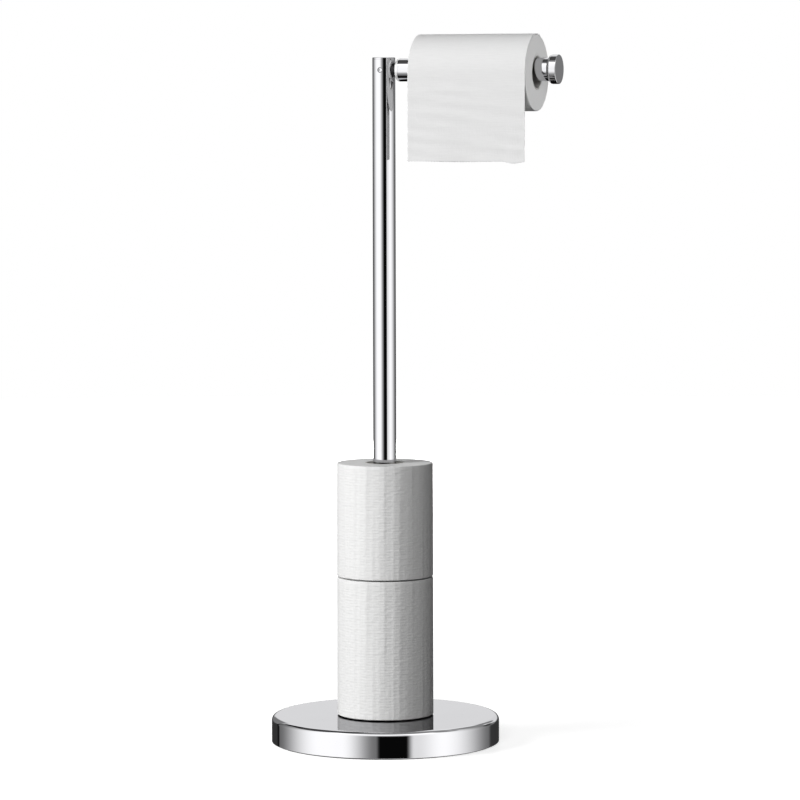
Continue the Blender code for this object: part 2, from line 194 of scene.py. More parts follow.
def turned(name, profile, height=None, steps=240):
    """Carry a profile of (radius, station) points once round a line.

    The line is the Z axis of the post, or the axis of the arm at a given height. A point
    goes round it as radius times cosine and sine of the turn. Each straight run of the
    profile gets a point just inside each end, which keeps its shading straight.
    """
    profile = np.concatenate([np.atleast_2d(part) for part in profile])
    run = np.diff(profile, axis=0)
    length = np.hypot(*run.T)[:, None]
    inset = run * (INSET / np.maximum(length, SHORTEST_STRAIGHT))
    points = np.stack([profile[:-1], profile[:-1] + inset, profile[1:] - inset], 1)
    straight = length > SHORTEST_STRAIGHT
    kept = np.concatenate([np.ones_like(straight), straight, straight], 1)
    profile = np.concatenate([points[kept], profile[-1:]])
    turn = np.linspace(0, 2 * np.pi, steps + 1)
    across, up = np.multiply.outer(profile[:, 0], (np.cos(turn), np.sin(turn))).transpose(1, 0, 2)
    station = np.broadcast_to(profile[:, 1:], across.shape)
    if height is None:
        return surface(name, np.stack([across, up, station], -1))
    return surface(name, np.stack([station, across, height + up], -1))


def stand_for(piece, node, body, material):
    """The piece takes the node's place on its body, with its finish, and the node is hidden."""
    piece.data.materials.append(material)
    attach(piece, body)
    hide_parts(node)


# Bright chrome mirrors a little over half of the light, nearly neutral. Buffing leaves
# a faint haze in patches some 30 mm wide, and the plate has ripples that hardly show.
# At a grazing angle chrome mirrors a little less than a plain metal, hence the edge tint.
chrome = grained(
    "chrome_plated_buffed", ("#C9C9CB", "#C5C5C7"), 1.0, (0.015, 0.045), 30 * MM, 0.002 * MM, 1.0
)
chrome.node_tree.nodes["Principled BSDF"].inputs["Specular Tint"].default_value = linear("#CECECF")

cover_low, cover_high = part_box("base_cover")
COVER_EDGE = 4.5 * MM
COVER_WALL = 1.2 * MM
COVER_HEM = 0.35 * MM
COVER_BORDER = 12 * MM
cover_radius = cover_high.x
cover_bore = 4.3 * MM
cover_inner = cover_radius - COVER_WALL
cover_roof = cover_high.z - COVER_WALL
edge_centre = (cover_radius - COVER_EDGE, cover_high.z - COVER_EDGE)
cover = turned("base_cover_drawn", [
    (cover_bore, cover_high.z),
    (edge_centre[0] - COVER_BORDER, cover_high.z),
    arc(edge_centre, (COVER_EDGE, COVER_EDGE), 90, 0, 17),
    arc((cover_radius - COVER_HEM, cover_low.z + COVER_HEM), (COVER_HEM, COVER_HEM), 0, -90, 5),
    (cover_inner, cover_low.z),
    arc(edge_centre, (COVER_EDGE - COVER_WALL, COVER_EDGE - COVER_WALL), 0, 90),
    (cover_bore, cover_roof),
    (cover_bore, cover_high.z),
], steps=480)
stand_for(cover, "base_cover", "stand", chrome)


# Seat washer and foot insert
# A thin washer of natural nylon keeps the tube's foot off the chrome of the cover. The
# insert is a plug of turned brass, pressed in the tube, whose thread takes the bolt.

nylon = grained("nylon_moulded", ("#E6E4DC", "#DEDBD1"), 0.0, (0.38, 0.52), 2 * MM, 0.01 * MM)
finish_node("post_seat_washer", nylon)
turned_brass = grained(
    "brass_turned", ("#C9A256", "#B48C42"), 1.0, (0.24, 0.38), 0.4 * MM, 0.01 * MM
)
finish_node("post_foot_insert", turned_brass)


# Post tube
# A drawn tube, 20 mm across, cut square, broken at its ends and plated. Near its top it
# is drilled for the arm's spigot on one side and for the grub screw at the front.

def to_front(piece):
    """Turn what was made along X so that it points along -Y: (x, y, z) becomes (y, -x, z)."""
    points = np.empty(len(piece.data.vertices) * 3)
    piece.data.vertices.foreach_get("co", points)
    points = points.reshape(-1, 3)[:, [1, 0, 2]] * (1, -1, 1)
    piece.data.vertices.foreach_set("co", points.ravel())
    return piece


def bar(name, radius, start, end, height, sides):
    """A closed bar along X at a height, to cut a hole with: it is not shown."""
    return turned(name, [(0, start), (radius, start), (radius, end), (0, end)], height, sides)


def drill(piece, cutters):
    """Cut the holes and take the cutters away again."""
    for cutter in cutters:
        cut = piece.modifiers.new(cutter.name, "BOOLEAN")
        cut.operation = "DIFFERENCE"
        cut.object = cutter
    graph = bpy.context.evaluated_depsgraph_get()
    whole = piece.data
    piece.data = bpy.data.meshes.new_from_object(piece.evaluated_get(graph))
    piece.modifiers.clear()
    bpy.data.meshes.remove(whole)
    piece.data.shade_smooth()
    piece.data.set_sharp_from_angle(angle=SHARP_ANGLE)


tube_low, tube_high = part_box("post_tube")
grub_low, grub_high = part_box("grub_screw")
root_low, root_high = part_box("arm_root_plug")
POST_WALL = 1.5 * MM
BROKEN_EDGE = 0.15 * MM
HOLE_PLAY = 0.3 * MM
SPIGOT_RADIUS = 6.0 * MM
arm_height = (root_low.z + root_high.z) / 2
post_radius = tube_high.x
post_inner = post_radius - POST_WALL
grub_radius = (grub_high.x - grub_low.x) / 2
tube = turned("post_tube_drawn", [
    (post_inner, tube_high.z),
    (post_radius - BROKEN_EDGE, tube_high.z),
    (post_radius, tube_high.z - BROKEN_EDGE),
    (post_radius, arm_height - post_radius),
    (post_radius, tube_low.z + BROKEN_EDGE),
    (post_radius - BROKEN_EDGE, tube_low.z),
    (post_inner, tube_low.z),
    (post_inner, tube_high.z),
])
spigot_hole = bar(
    "spigot_hole", SPIGOT_RADIUS + HOLE_PLAY, root_low.x, 2 * post_radius, arm_height, 96
)
grub_hole = to_front(
    bar("grub_hole", grub_radius + HOLE_PLAY, 0, 2 * post_radius, arm_height, 64)
)
drill(tube, (spigot_hole, grub_hole))
stand_for(tube, "post_tube", "stand", chrome)


# Post cap
# A plug turned from brass bar with a thin flange that closes the tube, plated like it.
# Its cross bore takes the arm's spigot, and a tapped hole at the front the grub screw.

cap_low, cap_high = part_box("post_cap")
CAP_ROUND = 0.5 * MM
CAP_SEAM = 0.06 * MM
PLUG_PLAY = 0.3 * MM
PLUG_CHAMFER = 0.6 * MM
plug_radius = post_inner - PLUG_PLAY
flange_low = tube_high.z + CAP_SEAM
cap = turned("post_cap_turned", [
    (0, cap_high.z),
    (post_radius - 3 * CAP_ROUND, cap_high.z),
    arc((post_radius - CAP_ROUND, cap_high.z - CAP_ROUND), (CAP_ROUND, CAP_ROUND), 90, 0, 7),
    (post_radius, flange_low + BROKEN_EDGE),
    (post_radius - BROKEN_EDGE, flange_low),
    (plug_radius, flange_low),
    (plug_radius, cap_low.z + PLUG_CHAMFER),
    (plug_radius - PLUG_CHAMFER, cap_low.z),
    (0, cap_low.z),
])
drill(cap, (spigot_hole, grub_hole))
stand_for(cap, "post_cap", "stand", chrome)
for cutter in (spigot_hole, grub_hole):
    bpy.data.objects.remove(cutter)


# Grub screw
# A 4 mm screw of nickel-plated steel that clamps the spigot. Its end is dished and has
# a small hexagon socket, and it sits just under the skin of the post.

GRUB_DISH = 0.25 * MM
GRUB_BEVEL = 0.25 * MM
SOCKET_RADIUS = 1.15 * MM
SOCKET_DEPTH = 0.8 * MM
grub_face = -grub_low.y
grub_point = -grub_high.y
grub = to_front(turned("grub_screw_turned", [
    (0, grub_face - GRUB_DISH),
    (grub_radius - GRUB_BEVEL, grub_face),
    (grub_radius, grub_face - GRUB_BEVEL),
    (grub_radius, grub_point + GRUB_BEVEL),
    (grub_radius - GRUB_BEVEL, grub_point),
    (0, grub_point),
], arm_height, 64))
socket = to_front(bar(
    "grub_socket", SOCKET_RADIUS, grub_face - SOCKET_DEPTH, 2 * post_radius, arm_height, 6
))
drill(grub, (socket,))
bpy.data.objects.remove(socket)
stand_for(grub, "grub_screw", "stand", chrome)


# Root of the arm
# One turned and plated piece: the spigot that enters the post, a collar with a well
# rounded back, and a plug that is pressed in the arm's tube.

COLLAR_ROUND = 2.0 * MM
COLLAR_LENGTH = 3.6 * MM
COLLAR_STANDOFF = 2.8 * MM
# How far along the collar's back the painted highlight reaches, over its round and a little beyond
HIGHLIGHT_BAND = 2.8 * MM
arm_low, arm_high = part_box("arm_tube")
arm_radius = (arm_high.z - arm_low.z) / 2
collar_start = post_radius + COLLAR_STANDOFF
collar_end = collar_start + COLLAR_LENGTH
root = turned("arm_root_turned", [
    (0, root_high.x),
    (plug_radius - PLUG_CHAMFER, root_high.x),
    (plug_radius, root_high.x - PLUG_CHAMFER),
    (plug_radius, collar_end),
    (arm_radius, collar_end),
    (arm_radius, collar_start + HIGHLIGHT_BAND),
    arc(
        (arm_radius - COLLAR_ROUND, collar_start + COLLAR_ROUND),
        (COLLAR_ROUND, COLLAR_ROUND), 0, -90, 13,
    ),
    (SPIGOT_RADIUS, collar_start),
    (SPIGOT_RADIUS, root_low.x + PLUG_CHAMFER),
    (SPIGOT_RADIUS - PLUG_CHAMFER, root_low.x),
    (0, root_low.x),
], arm_height)
stand_for(root, "arm_root_plug", "stand", chrome)
# The back of the collar has a near-white rough metal, a painted highlight brighter than the
# chrome, which shows as a pale band by the post.
# The spigot is painted near black, a painted shade for the dark gap and its shadow between the
# collar and the post, so it hardly shows there.
collar_painted_highlight = grained(
    "chrome_painted_highlight", ("#FAFAFA", "#F4F4F4"), 1.0, (0.54, 0.62), 1 * MM, 0.005 * MM
)
# Painted shade: a dark metal on the spigot, where the post and collar only shade it
spigot_painted_shade = grained(
    "steel_painted_shade", ("#2C2C2D", "#38383A"), 1.0, (0.30, 0.42), 2 * MM, 0.005 * MM
)
root.data.materials.append(collar_painted_highlight)
root.data.materials.append(spigot_painted_shade)
# The spigot's faces get the painted shade, and the collar's rounded back the painted highlight
for face in root.data.polygons:
    if face.center.x < collar_start - WELD_DISTANCE:
        face.material_index = 2
    elif face.center.x < collar_start + HIGHLIGHT_BAND:
        face.material_index = 1


# Arm tube, tip insert and stud
# The arm is the same drawn and plated tube as the post. A tapped plug of turned brass
# is pressed in its free end, and a steel stud in it carries the knob.

ARM_SEAM = 0.06 * MM
arm_inner = arm_radius - POST_WALL
arm_start = collar_end + ARM_SEAM
arm = turned("arm_tube_drawn", [
    (arm_inner, arm_start),
    (arm_inner, arm_high.x),
    (arm_radius - BROKEN_EDGE, arm_high.x),
    (arm_radius, arm_high.x - BROKEN_EDGE),
    (arm_radius, arm_start + BROKEN_EDGE / 3),
    (arm_radius - BROKEN_EDGE / 3, arm_start),
    (arm_inner, arm_start),
], arm_height)
stand_for(arm, "arm_tube", "stand", chrome)
finish_node("arm_tip_insert", turned_brass)
finish_node("knob_stud", zinc_plate)


# Knob
# Turned from brass bar, plated, and screwed on the stud. From the width of the arm it
# swells at once over a round shoulder to its rim, and the flat end has a crisp edge.

knob_low, knob_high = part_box("arm_knob")
stud_low, stud_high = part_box("knob_stud")
KNOB_NECK = 0.2 * MM
KNOB_SHOULDER = 2.6 * MM
KNOB_EDGE = 0.45 * MM
STUD_RUNOUT = 0.8 * MM
knob_radius = (knob_high.z - knob_low.z) / 2
knob_rim = knob_low.x + KNOB_NECK + KNOB_SHOULDER
stud_hole = (stud_high.z - stud_low.z) / 2 + HOLE_PLAY
knob_floor = stud_high.x + STUD_RUNOUT
knob = turned("arm_knob_turned", [
    (0, knob_high.x),
    (knob_radius - 4 * KNOB_EDGE, knob_high.x),
    arc((knob_radius - KNOB_EDGE, knob_high.x - KNOB_EDGE), (KNOB_EDGE, KNOB_EDGE), 90, 0, 7),
    arc((arm_radius, knob_rim), (knob_radius - arm_radius, KNOB_SHOULDER), 0, -90, 15),
    (arm_radius, knob_low.x + BROKEN_EDGE),
    (arm_radius - BROKEN_EDGE, knob_low.x),
    (stud_hole, knob_low.x),
    (stud_hole, knob_floor),
    (0, knob_floor),
], arm_height)
stand_for(knob, "arm_knob", "stand", chrome)


# Cores
# Each core is two strips of white-lined board, wound as a helix on a mandrel and glued,
# so a shallow seam climbs round it outside and inside.

SEAM_PITCH = 62 * MM
SEAM_WIDTH = 1.4 * MM
SEAM_DEPTH = 0.12 * MM


def wound_core(name, outer, inner, low, high, height=None):
    """A tube whose radius drops by a bell curve wherever the helical seam passes.

    The seam lies where the station over its pitch, less the share of the turn, is whole.
    """
    turn = np.linspace(0, 2 * np.pi, 145)
    rise = np.linspace(low, high, 150)
    profile = np.concatenate([
        np.stack([np.full_like(rise, outer), rise[::-1]], 1),
        np.stack([np.full_like(rise, inner), rise], 1),
        [(outer, high)],
    ])
    radius, station = profile[:, :1], profile[:, 1:]
    phase = station / SEAM_PITCH - turn / (2 * np.pi)
    miss = (phase - np.round(phase)) * SEAM_PITCH / SEAM_WIDTH
    into_wall = np.where(radius == outer, -1, 1)
    radius = radius + into_wall * SEAM_DEPTH * np.exp(-miss ** 2)
    station = np.broadcast_to(station, radius.shape)
    across, up = radius * np.cos(turn), radius * np.sin(turn)
    if height is None:
        return surface(name, np.stack([across, up, station], -1))
    return surface(name, np.stack([station, across, height + up], -1))


# White-lined chipboard: the liner is nearly white and its fibres mottle it slightly.
core_board = grained(
    "core_board_white_lined", ("#DDDCD8", "#CECCC7"), 0.0, (0.82, 0.95), 1.2 * MM, 0.02 * MM
)
CORE_WALL = {"arm_roll": 1.0 * MM, "spare_lower": 1.2 * MM, "spare_upper": 1.2 * MM}
for body in ("spare_lower", "spare_upper"):
    core_low, core_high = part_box(body + "_core")
    core = wound_core(
        body + "_core_wound", core_high.x, core_high.x - CORE_WALL[body], core_low.z, core_high.z
    )
    stand_for(core, body + "_core", body, core_board)
core_low, core_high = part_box("arm_roll_core")
roll_axis = (core_low.z + core_high.z) / 2
core_radius = (core_high.z - core_low.z) / 2
core = wound_core(
    "arm_roll_core_wound", core_radius, core_radius - CORE_WALL["arm_roll"],
    core_low.x, core_high.x, roll_axis,
)
stand_for(core, "arm_roll_core", "arm_roll", core_board)


# Wound paper
# Two-ply bathroom tissue, creped on a drum, embossed with small dots, then wound under
# light tension and sawn to width, so each end shows the edges of the layers as a spiral.

LAYER_PITCH = 1.5 * MM
LAYER_DEPTH = 0.02 * MM
PAPER_ROUND = 0.8 * MM


def wound_paper(name, outer, inner, low, high, height=None):
    """A thick ring whose ends sink and rise by a cosine along a spiral.

    The spiral's phase is the radius over the pitch less the share of the turn. The pitch
    is some six layers, because single ones are too fine to show. U runs along the roll's
    axis and V round its skin or out over its ends, both in metres.
    """
    turn = np.linspace(0, 2 * np.pi, 289)
    skin = np.linspace(high - PAPER_ROUND, low + PAPER_ROUND, 48)[1:-1]
    shoulder = outer - PAPER_ROUND
    out_over_end = np.arange(inner, shoulder, LAYER_PITCH / 6)
    profile = np.concatenate([
        np.stack([out_over_end, np.full_like(out_over_end, high)], 1),
        arc((shoulder, high - PAPER_ROUND), (PAPER_ROUND, PAPER_ROUND), 90, 0, 7),
        np.stack([np.full_like(skin, outer), skin], 1),
        arc((shoulder, low + PAPER_ROUND), (PAPER_ROUND, PAPER_ROUND), 0, -90, 7),
        np.stack([out_over_end[::-1], np.full_like(out_over_end, low)], 1),
        [(inner, high)],
    ])
    radius, level = profile[:, :1], profile[:, 1:]
    phase = radius / LAYER_PITCH - turn / (2 * np.pi)
    sunk = LAYER_DEPTH * (1 - np.cos(2 * np.pi * phase)) / 2
    inwards = np.where(level == high, -1, np.where(level == low, 1, 0))
    station = level + inwards * sunk
    across, up = radius * np.cos(turn), radius * np.sin(turn)
    along = np.concatenate([[0], np.cumsum(np.hypot(*np.diff(profile, axis=0).T))])
    uv = np.stack(np.broadcast_arrays(along[:, None], outer * turn[None, :]), -1)
    if height is None:
        return surface(name, np.stack([across, up, station], -1), uv)
    return surface(name, np.stack([station, across, height + up], -1), uv)


# The size of each pattern along the roll and round it. The ridges of the crepe are twice
# as far apart as real ones, so that they show.
DOT_CELL = (2.3 * MM, 6.0 * MM)
CREPE_RIDGE = (14 * MM, 1.1 * MM)
CREPE_DEPTH = 0.04 * MM
STREAK = (260 * MM, 8 * MM)


def tissue(name, colours, dot_depth, streak_depth):
    """White creped tissue, patterned over a UV map in metres, with U along the roll.

    Its height is the sum of three patterns: cells of the embossing, ridges of the crepe,
    which tint it too, and long soft streaks from the tension of the winding.
    """
    material, tree, shader = new_material(name, colours[0], 0.0, 0.95)
    place = add_node(tree, "TexCoord")
    heights = []
    for kind, (along, round_roll), settings in (
        ("TexVoronoi", DOT_CELL, {"Scale": 1.0, "Randomness": 0.5}),
        ("TexNoise", CREPE_RIDGE, {"Scale": 1.0, "Detail": 2.0}),
        ("TexNoise", STREAK, {"Scale": 1.0, "Detail": 1.0}),
    ):
        cells = add_node(
            tree, "Mapping", {"Scale": (1 / along, 1 / round_roll, 1)},
            {"Vector": place.outputs["UV"]},
        )
        pattern = add_node(tree, kind, settings, {"Vector": cells.outputs[0]})
        heights.append(pattern.outputs[0])
    links = {}
    for height, depth in zip(heights, (dot_depth, CREPE_DEPTH, streak_depth)):
        links["Height"] = height
        bump = add_node(tree, "Bump", {"Distance": depth}, links)
        links["Normal"] = bump.outputs["Normal"]
    tint = add_node(
        tree, "Mix", {"data_type": "RGBA", 6: linear(colours[0]), 7: linear(colours[1])},
        {0: heights[1]},
    )
    tree.links.new(tint.outputs[2], shader.inputs["Base Color"])
    tree.links.new(bump.outputs["Normal"], shader.inputs["Normal"])
    return material


FACING_OUT = 0.9


def sawn_ends(piece, axis, material):
    """Give the faces that look along the given axis, 0 for X and 2 for Z, a second finish."""
    piece.data.materials.append(material)
    normals = np.empty(len(piece.data.polygons) * 3)
    piece.data.polygons.foreach_get("normal", normals)
    on_end = np.abs(normals.reshape(-1, 3)[:, axis]) > FACING_OUT
    piece.data.polygons.foreach_set("material_index", on_end.astype(np.int32))


# The saw leaves the ends of a roll matt and even, with a little fluff.
sawn_tissue = grained(
    "tissue_sawn_end", ("#F1F1F1", "#E9E9E8"), 0.0, (0.93, 0.99), 0.8 * MM, 0.05 * MM
)
wound_tissue = tissue("tissue_creped_wound", ("#F3F3F3", "#EBEBEA"), 0.33 * MM, 1.15 * MM)
CORE_TO_PAPER = 0.3 * MM
SPARE_SUNK = 0.5 * MM
for body, top_sunk in (("spare_lower", SPARE_SUNK), ("spare_upper", 0)):
    paper_low, paper_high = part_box(body + "_paper")
    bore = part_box(body + "_core")[1].x + CORE_TO_PAPER
    paper = wound_paper(
        body + "_paper_wound", paper_high.x, bore,
        paper_low.z + SPARE_SUNK, paper_high.z - top_sunk,
    )
    stand_for(paper, body + "_paper", body, wound_tissue)
    sawn_ends(paper, 2, sawn_tissue)
paper_low, paper_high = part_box("arm_roll_paper")
roll_radius = (paper_high.z - paper_low.z) / 2
paper = wound_paper(
    "arm_roll_paper_wound", roll_radius, core_radius + CORE_TO_PAPER,
    paper_low.x, paper_high.x, roll_axis,
)
stand_for(paper, "arm_roll_paper", "arm_roll", wound_tissue)
sawn_ends(paper, 0, sawn_tissue)


# Loose sheet
# The last leaf of the roll, two plies of the same tissue, torn off along its perforation.
# It comes over the top of the roll, leaves it at the front and hangs straight down.

sheet_low, sheet_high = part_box("hanging_sheet")
SHEET_THICKNESS = 0.3 * MM
SHEET_LIFT = 0.35 * MM
SHEET_WRAP = math.radians(104.4)
SHEET_TUCK = 9 * MM
SHEET_DROP = 76 * MM
SHEET_OFF = 0.25 * MM
SHEET_SETTLE = 15 * MM
TUCK_GAP = 0.05 * MM
RIPPLE = 0.9 * MM
CREASE = 0.13 * MM
CREASE_RATES = (350, 570)
CORNER_START, FOLD_END = 0.80, 1.01
CORNER_CURL = 1.4 * MM
FOLD_OUT = 0.7 * MM
FOLD_SAG = 1.5 * MM
TOOTH_PITCH = 2.6 * MM
TOOTH_DEPTH = 0.45 * MM
TEAR_SWAY = 0.25 * MM
TEAR_ROW = 0.01 * MM
sheet_width = sheet_high.x - sheet_low.x
sheet_radius = roll_radius + SHEET_LIFT
sheet_wrapped = sheet_radius * SHEET_WRAP
sheet_length = sheet_wrapped + SHEET_DROP


def hung_sheet(name, columns=236, rows=170):
    """The leaf as a function of the share across it and the length along it.

    Along the wrap it lies on a circle round the roll, which its start tucks down to, and
    after that it falls straight. What falls stands off by a slow ripple, growing with the
    fallen length squared, and by faint creases, two sines of so many radians per metre
    that slant from side to side and trade strength by a third. The outer corner curls to
    the front, a soft fold beside it hangs lower, and the torn edge sways and has teeth.
    """
    share, along = np.meshgrid(
        np.linspace(0, 1, columns), np.linspace(0, sheet_length, rows)
    )
    turn = np.clip(SHEET_WRAP - along / sheet_radius, 0, None)
    tucked = np.clip(1 - along / SHEET_TUCK, 0, 1) ** 2 * (SHEET_LIFT - TUCK_GAP)
    radius = sheet_radius - tucked
    fallen = np.clip(along - sheet_wrapped, 0, None)
    free = (fallen / SHEET_DROP) ** 2
    corner = np.clip((share - CORNER_START) / (1 - CORNER_START), 0, 1)
    into_fold = np.clip((share - CORNER_START) / (FOLD_END - CORNER_START), 0, 1)
    fold = np.sin(np.pi * into_fold) ** 2
    ripple = RIPPLE * (1 - np.cos(4 * np.pi * share)) / 2
    fade = np.sin(7 * share + 60 * fallen + 0.5)
    slow, fast = CREASE_RATES
    slant = 2.5 * share - 1.5 * np.sin(5 * share)
    crease = CREASE * (
        (0.8 + 0.5 * fade) * np.sin(slow * fallen - slant + 1.0)
        + (0.7 - 0.5 * fade) * np.sin(fast * fallen - 7 * share + 2.5)
    )
    out = free * (ripple + CORNER_CURL * corner ** 2 + FOLD_OUT * fold)
    out = out + np.clip(fallen / SHEET_SETTLE, 0, 1) * (crease + SHEET_OFF)
    teeth = TOOTH_DEPTH * np.abs(2 * ((share * sheet_width / TOOTH_PITCH) % 1) - 1)
    sway = TEAR_SWAY * np.sin(9 * share + 0.8)
    drop = fallen + free * FOLD_SAG * fold
    drop = drop - (fallen >= SHEET_DROP - TEAR_ROW) * (teeth + sway)
    x = sheet_low.x + share * sheet_width
    y = -radius * np.cos(turn) - out
    z = roll_axis + radius * np.sin(turn) - drop
    uv = np.stack([share * sheet_width, along], -1)
    return surface(name, np.stack([x, y, z], -1), uv)


# Light passes through a leaf that hangs alone, so it is a shade greyer than the roll.
leaf_tissue = tissue("tissue_creped_leaf", ("#E6E6E6", "#DEDEDE"), 0.16 * MM, 0.2 * MM)
leaf = hung_sheet("hanging_sheet_torn")
ply = leaf.modifiers.new("Two plies", "SOLIDIFY")
ply.thickness = SHEET_THICKNESS
ply.offset = 1
stand_for(leaf, "hanging_sheet", "stand", leaf_tissue)


# Floor
# A sweep of white paper. Far from the stand it is overexposed to plain white. Near the
# stand it glows less towards the camera, so that what it reflects keeps a soft shadow.

FLOOR_RADIUS = 4.0
FLOOR_MIDDLE = 0.6
SHADOW_START = 0.20
SHADOW_END = 0.95
GLOW_NEAR = 0.74
floor = turned("floor_sweep", [(0, 0), (FLOOR_MIDDLE, 0), (FLOOR_RADIUS, 0)], steps=96)
floor_paper, tree, shader = new_material("sweep_paper_white", "#D8D8D8", 0.0, 1.0)
place = add_node(tree, "TexCoord")
away = add_node(tree, "VectorMath", {"operation": "LENGTH"}, {0: place.outputs["Object"]})
glow = add_node(
    tree, "MapRange",
    {"interpolation_type": "SMOOTHSTEP", "From Min": SHADOW_START, "From Max": SHADOW_END,
     "To Min": GLOW_NEAR, "To Max": 1.0},
    {"Value": away.outputs["Value"]},
)
ray = add_node(tree, "LightPath")
seen = add_node(
    tree, "Math", {"operation": "MULTIPLY"},
    {0: ray.outputs["Is Camera Ray"], 1: glow.outputs["Result"]},
)
shader.inputs["Emission Color"].default_value = linear("#FFFFFF")
shader.inputs["Specular IOR Level"].default_value = 0.0
tree.links.new(seen.outputs[0], shader.inputs["Emission Strength"])
floor.data.materials.append(floor_paper)
floor.visible_glossy = False
floor.visible_diffuse = False


# Tent
# What polished metal mirrors: a tent of white cloth round the stand, lit from outside,
# with a black gap where the camera looks in, darker cloth behind and a grey ceiling.
# Only mirrored rays meet it. Azimuths are counted from the camera, to its right.

CAMERA_AZIMUTH = math.radians(20.222)
TENT_RADIUS = 14.0
TENT_CENTRE = 0.3
TENT_GLOW = 2.42
DIMMED_GLOW = 0.1
CARD_EDGE = 2
BLACK, DARK, MIDDLE, SOFT, PALE, WHITE = (
    "#080808", "#383838", "#707070", "#CCCCCC", "#DCDCDC", "#FFFFFF"
)
OFF, ON = "#000000", "#FFFFFF"


def towards(azimuth, elevation):
    """The unit vector at an azimuth and elevation, by their sines and cosines."""
    turn, tilt = CAMERA_AZIMUTH + math.radians(azimuth), math.radians(elevation)
    return Vector((
        math.sin(turn) * math.cos(tilt), -math.cos(turn) * math.cos(tilt), math.sin(tilt)
    ))


def eased_ramp(angle, span, stops):
    """A colour ramp over an angle that runs from minus span to span, in degrees.

    Each stop is (degrees, shade), and the shade eases from each stop to the next.
    """
    ramp = add_node(tree, "ValToRGB", links={"Fac": angle.outputs[0]})
    ramp.color_ramp.interpolation = "EASE"
    elements = ramp.color_ramp.elements
    while len(elements) < len(stops):
        elements.new(0.5)
    for element, (degrees, shade) in zip(elements, stops):
        element.position = (degrees + span) / (2 * span)
        element.color = linear(shade)
    return ramp


tent_turn = np.linspace(0, 2 * np.pi, 65)
tent_tilt = np.linspace(-np.pi / 2, np.pi / 2, 33)[:, None]
tent = surface("light_tent", np.stack([
    TENT_RADIUS * np.cos(tent_tilt) * np.cos(tent_turn),
    TENT_RADIUS * np.cos(tent_tilt) * np.sin(tent_turn),
    TENT_RADIUS * np.sin(tent_tilt) + 0 * tent_turn,
], -1))
tent.location.z = TENT_CENTRE
tent_cloth = bpy.data.materials.new("tent_cloth_lit")
tent_cloth.use_nodes = True
tree = tent_cloth.node_tree
tree.nodes.clear()
place = add_node(tree, "TexCoord")
way = add_node(
    tree, "VectorMath", {"operation": "NORMALIZE"}, {0: place.outputs["Object"]}
)
level_way = add_node(
    tree, "VectorRotate", {"rotation_type": "Z_AXIS", "Angle": -CAMERA_AZIMUTH},
    {"Vector": way.outputs[0]},
)
axis = add_node(tree, "SeparateXYZ", links={0: level_way.outputs[0]})
nearer = add_node(tree, "Math", {"operation": "MULTIPLY", 1: -1.0}, {0: axis.outputs["Y"]})
bearing = add_node(
    tree, "Math", {"operation": "ARCTAN2"}, {0: axis.outputs["X"], 1: nearer.outputs[0]}
)
azimuth = add_node(
    tree, "MapRange", {"From Min": -math.pi, "From Max": math.pi}, {"Value": bearing.outputs[0]}
)
tilt = add_node(tree, "Math", {"operation": "ARCSINE"}, {0: axis.outputs["Z"]})
elevation = add_node(
    tree, "MapRange", {"From Min": -math.pi / 2, "From Max": math.pi / 2},
    {"Value": tilt.outputs[0]},
)

# The left wall, the gap for the camera, and the right wall, which fades towards the back.
# Both are dark at the floor and brightest over the stand.
walls = eased_ramp(azimuth, 180, [
    (-138, BLACK), (-134, MIDDLE), (-70, WHITE), (-45, WHITE), (-10, MIDDLE), (-6, BLACK),
    (21, BLACK), (29, PALE), (60, WHITE), (130, MIDDLE),
])
wall_fall = eased_ramp(elevation, 90, [
    (-60, BLACK), (-40, MIDDLE), (-10, PALE), (40, PALE), (50, WHITE),
])
# Over the gap for the camera the cloth comes back, paler and paler
above_camera = eased_ramp(elevation, 90, [(4, OFF), (50, ON)])
near_camera = eased_ramp(azimuth, 180, [(-70, OFF), (-50, ON), (50, ON), (70, OFF)])
over_gap = add_node(
    tree, "Math", {"operation": "MULTIPLY"},
    {0: above_camera.outputs[0], 1: near_camera.outputs[0]},
)
# Behind the stand the cloth is dark low down and pale further up
behind = eased_ramp(azimuth, 180, [(-145, ON), (-138, OFF), (127, OFF), (135, ON)])
back_rise = eased_ramp(elevation, 90, [
    (-30, BLACK), (0, DARK), (7, SOFT), (66, SOFT), (72, WHITE),
])
# Far below the horizon there is the floor, pale in front of the stand and beside the arm
below = eased_ramp(elevation, 90, [(-40, SOFT), (-30, OFF)])
lit_floor = eased_ramp(azimuth, 180, [(-30, OFF), (-20, ON), (140, ON), (165, OFF)])
cloth = add_node(
    tree, "Mix", {"data_type": "RGBA", 7: linear(WHITE)},
    {0: over_gap.outputs[0], 6: walls.outputs[0]},
)
cloth = add_node(
    tree, "Mix", {"data_type": "RGBA", "blend_type": "MULTIPLY", 0: 1.0},
    {6: cloth.outputs[2], 7: wall_fall.outputs[0]},
)
cloth = add_node(
    tree, "Mix", {"data_type": "RGBA"},
    {0: behind.outputs[0], 6: cloth.outputs[2], 7: back_rise.outputs[0]},
)
cloth = add_node(
    tree, "Mix", {"data_type": "RGBA", "blend_type": "LIGHTEN"},
    {0: lit_floor.outputs[0], 6: cloth.outputs[2], 7: below.outputs[0]},
)
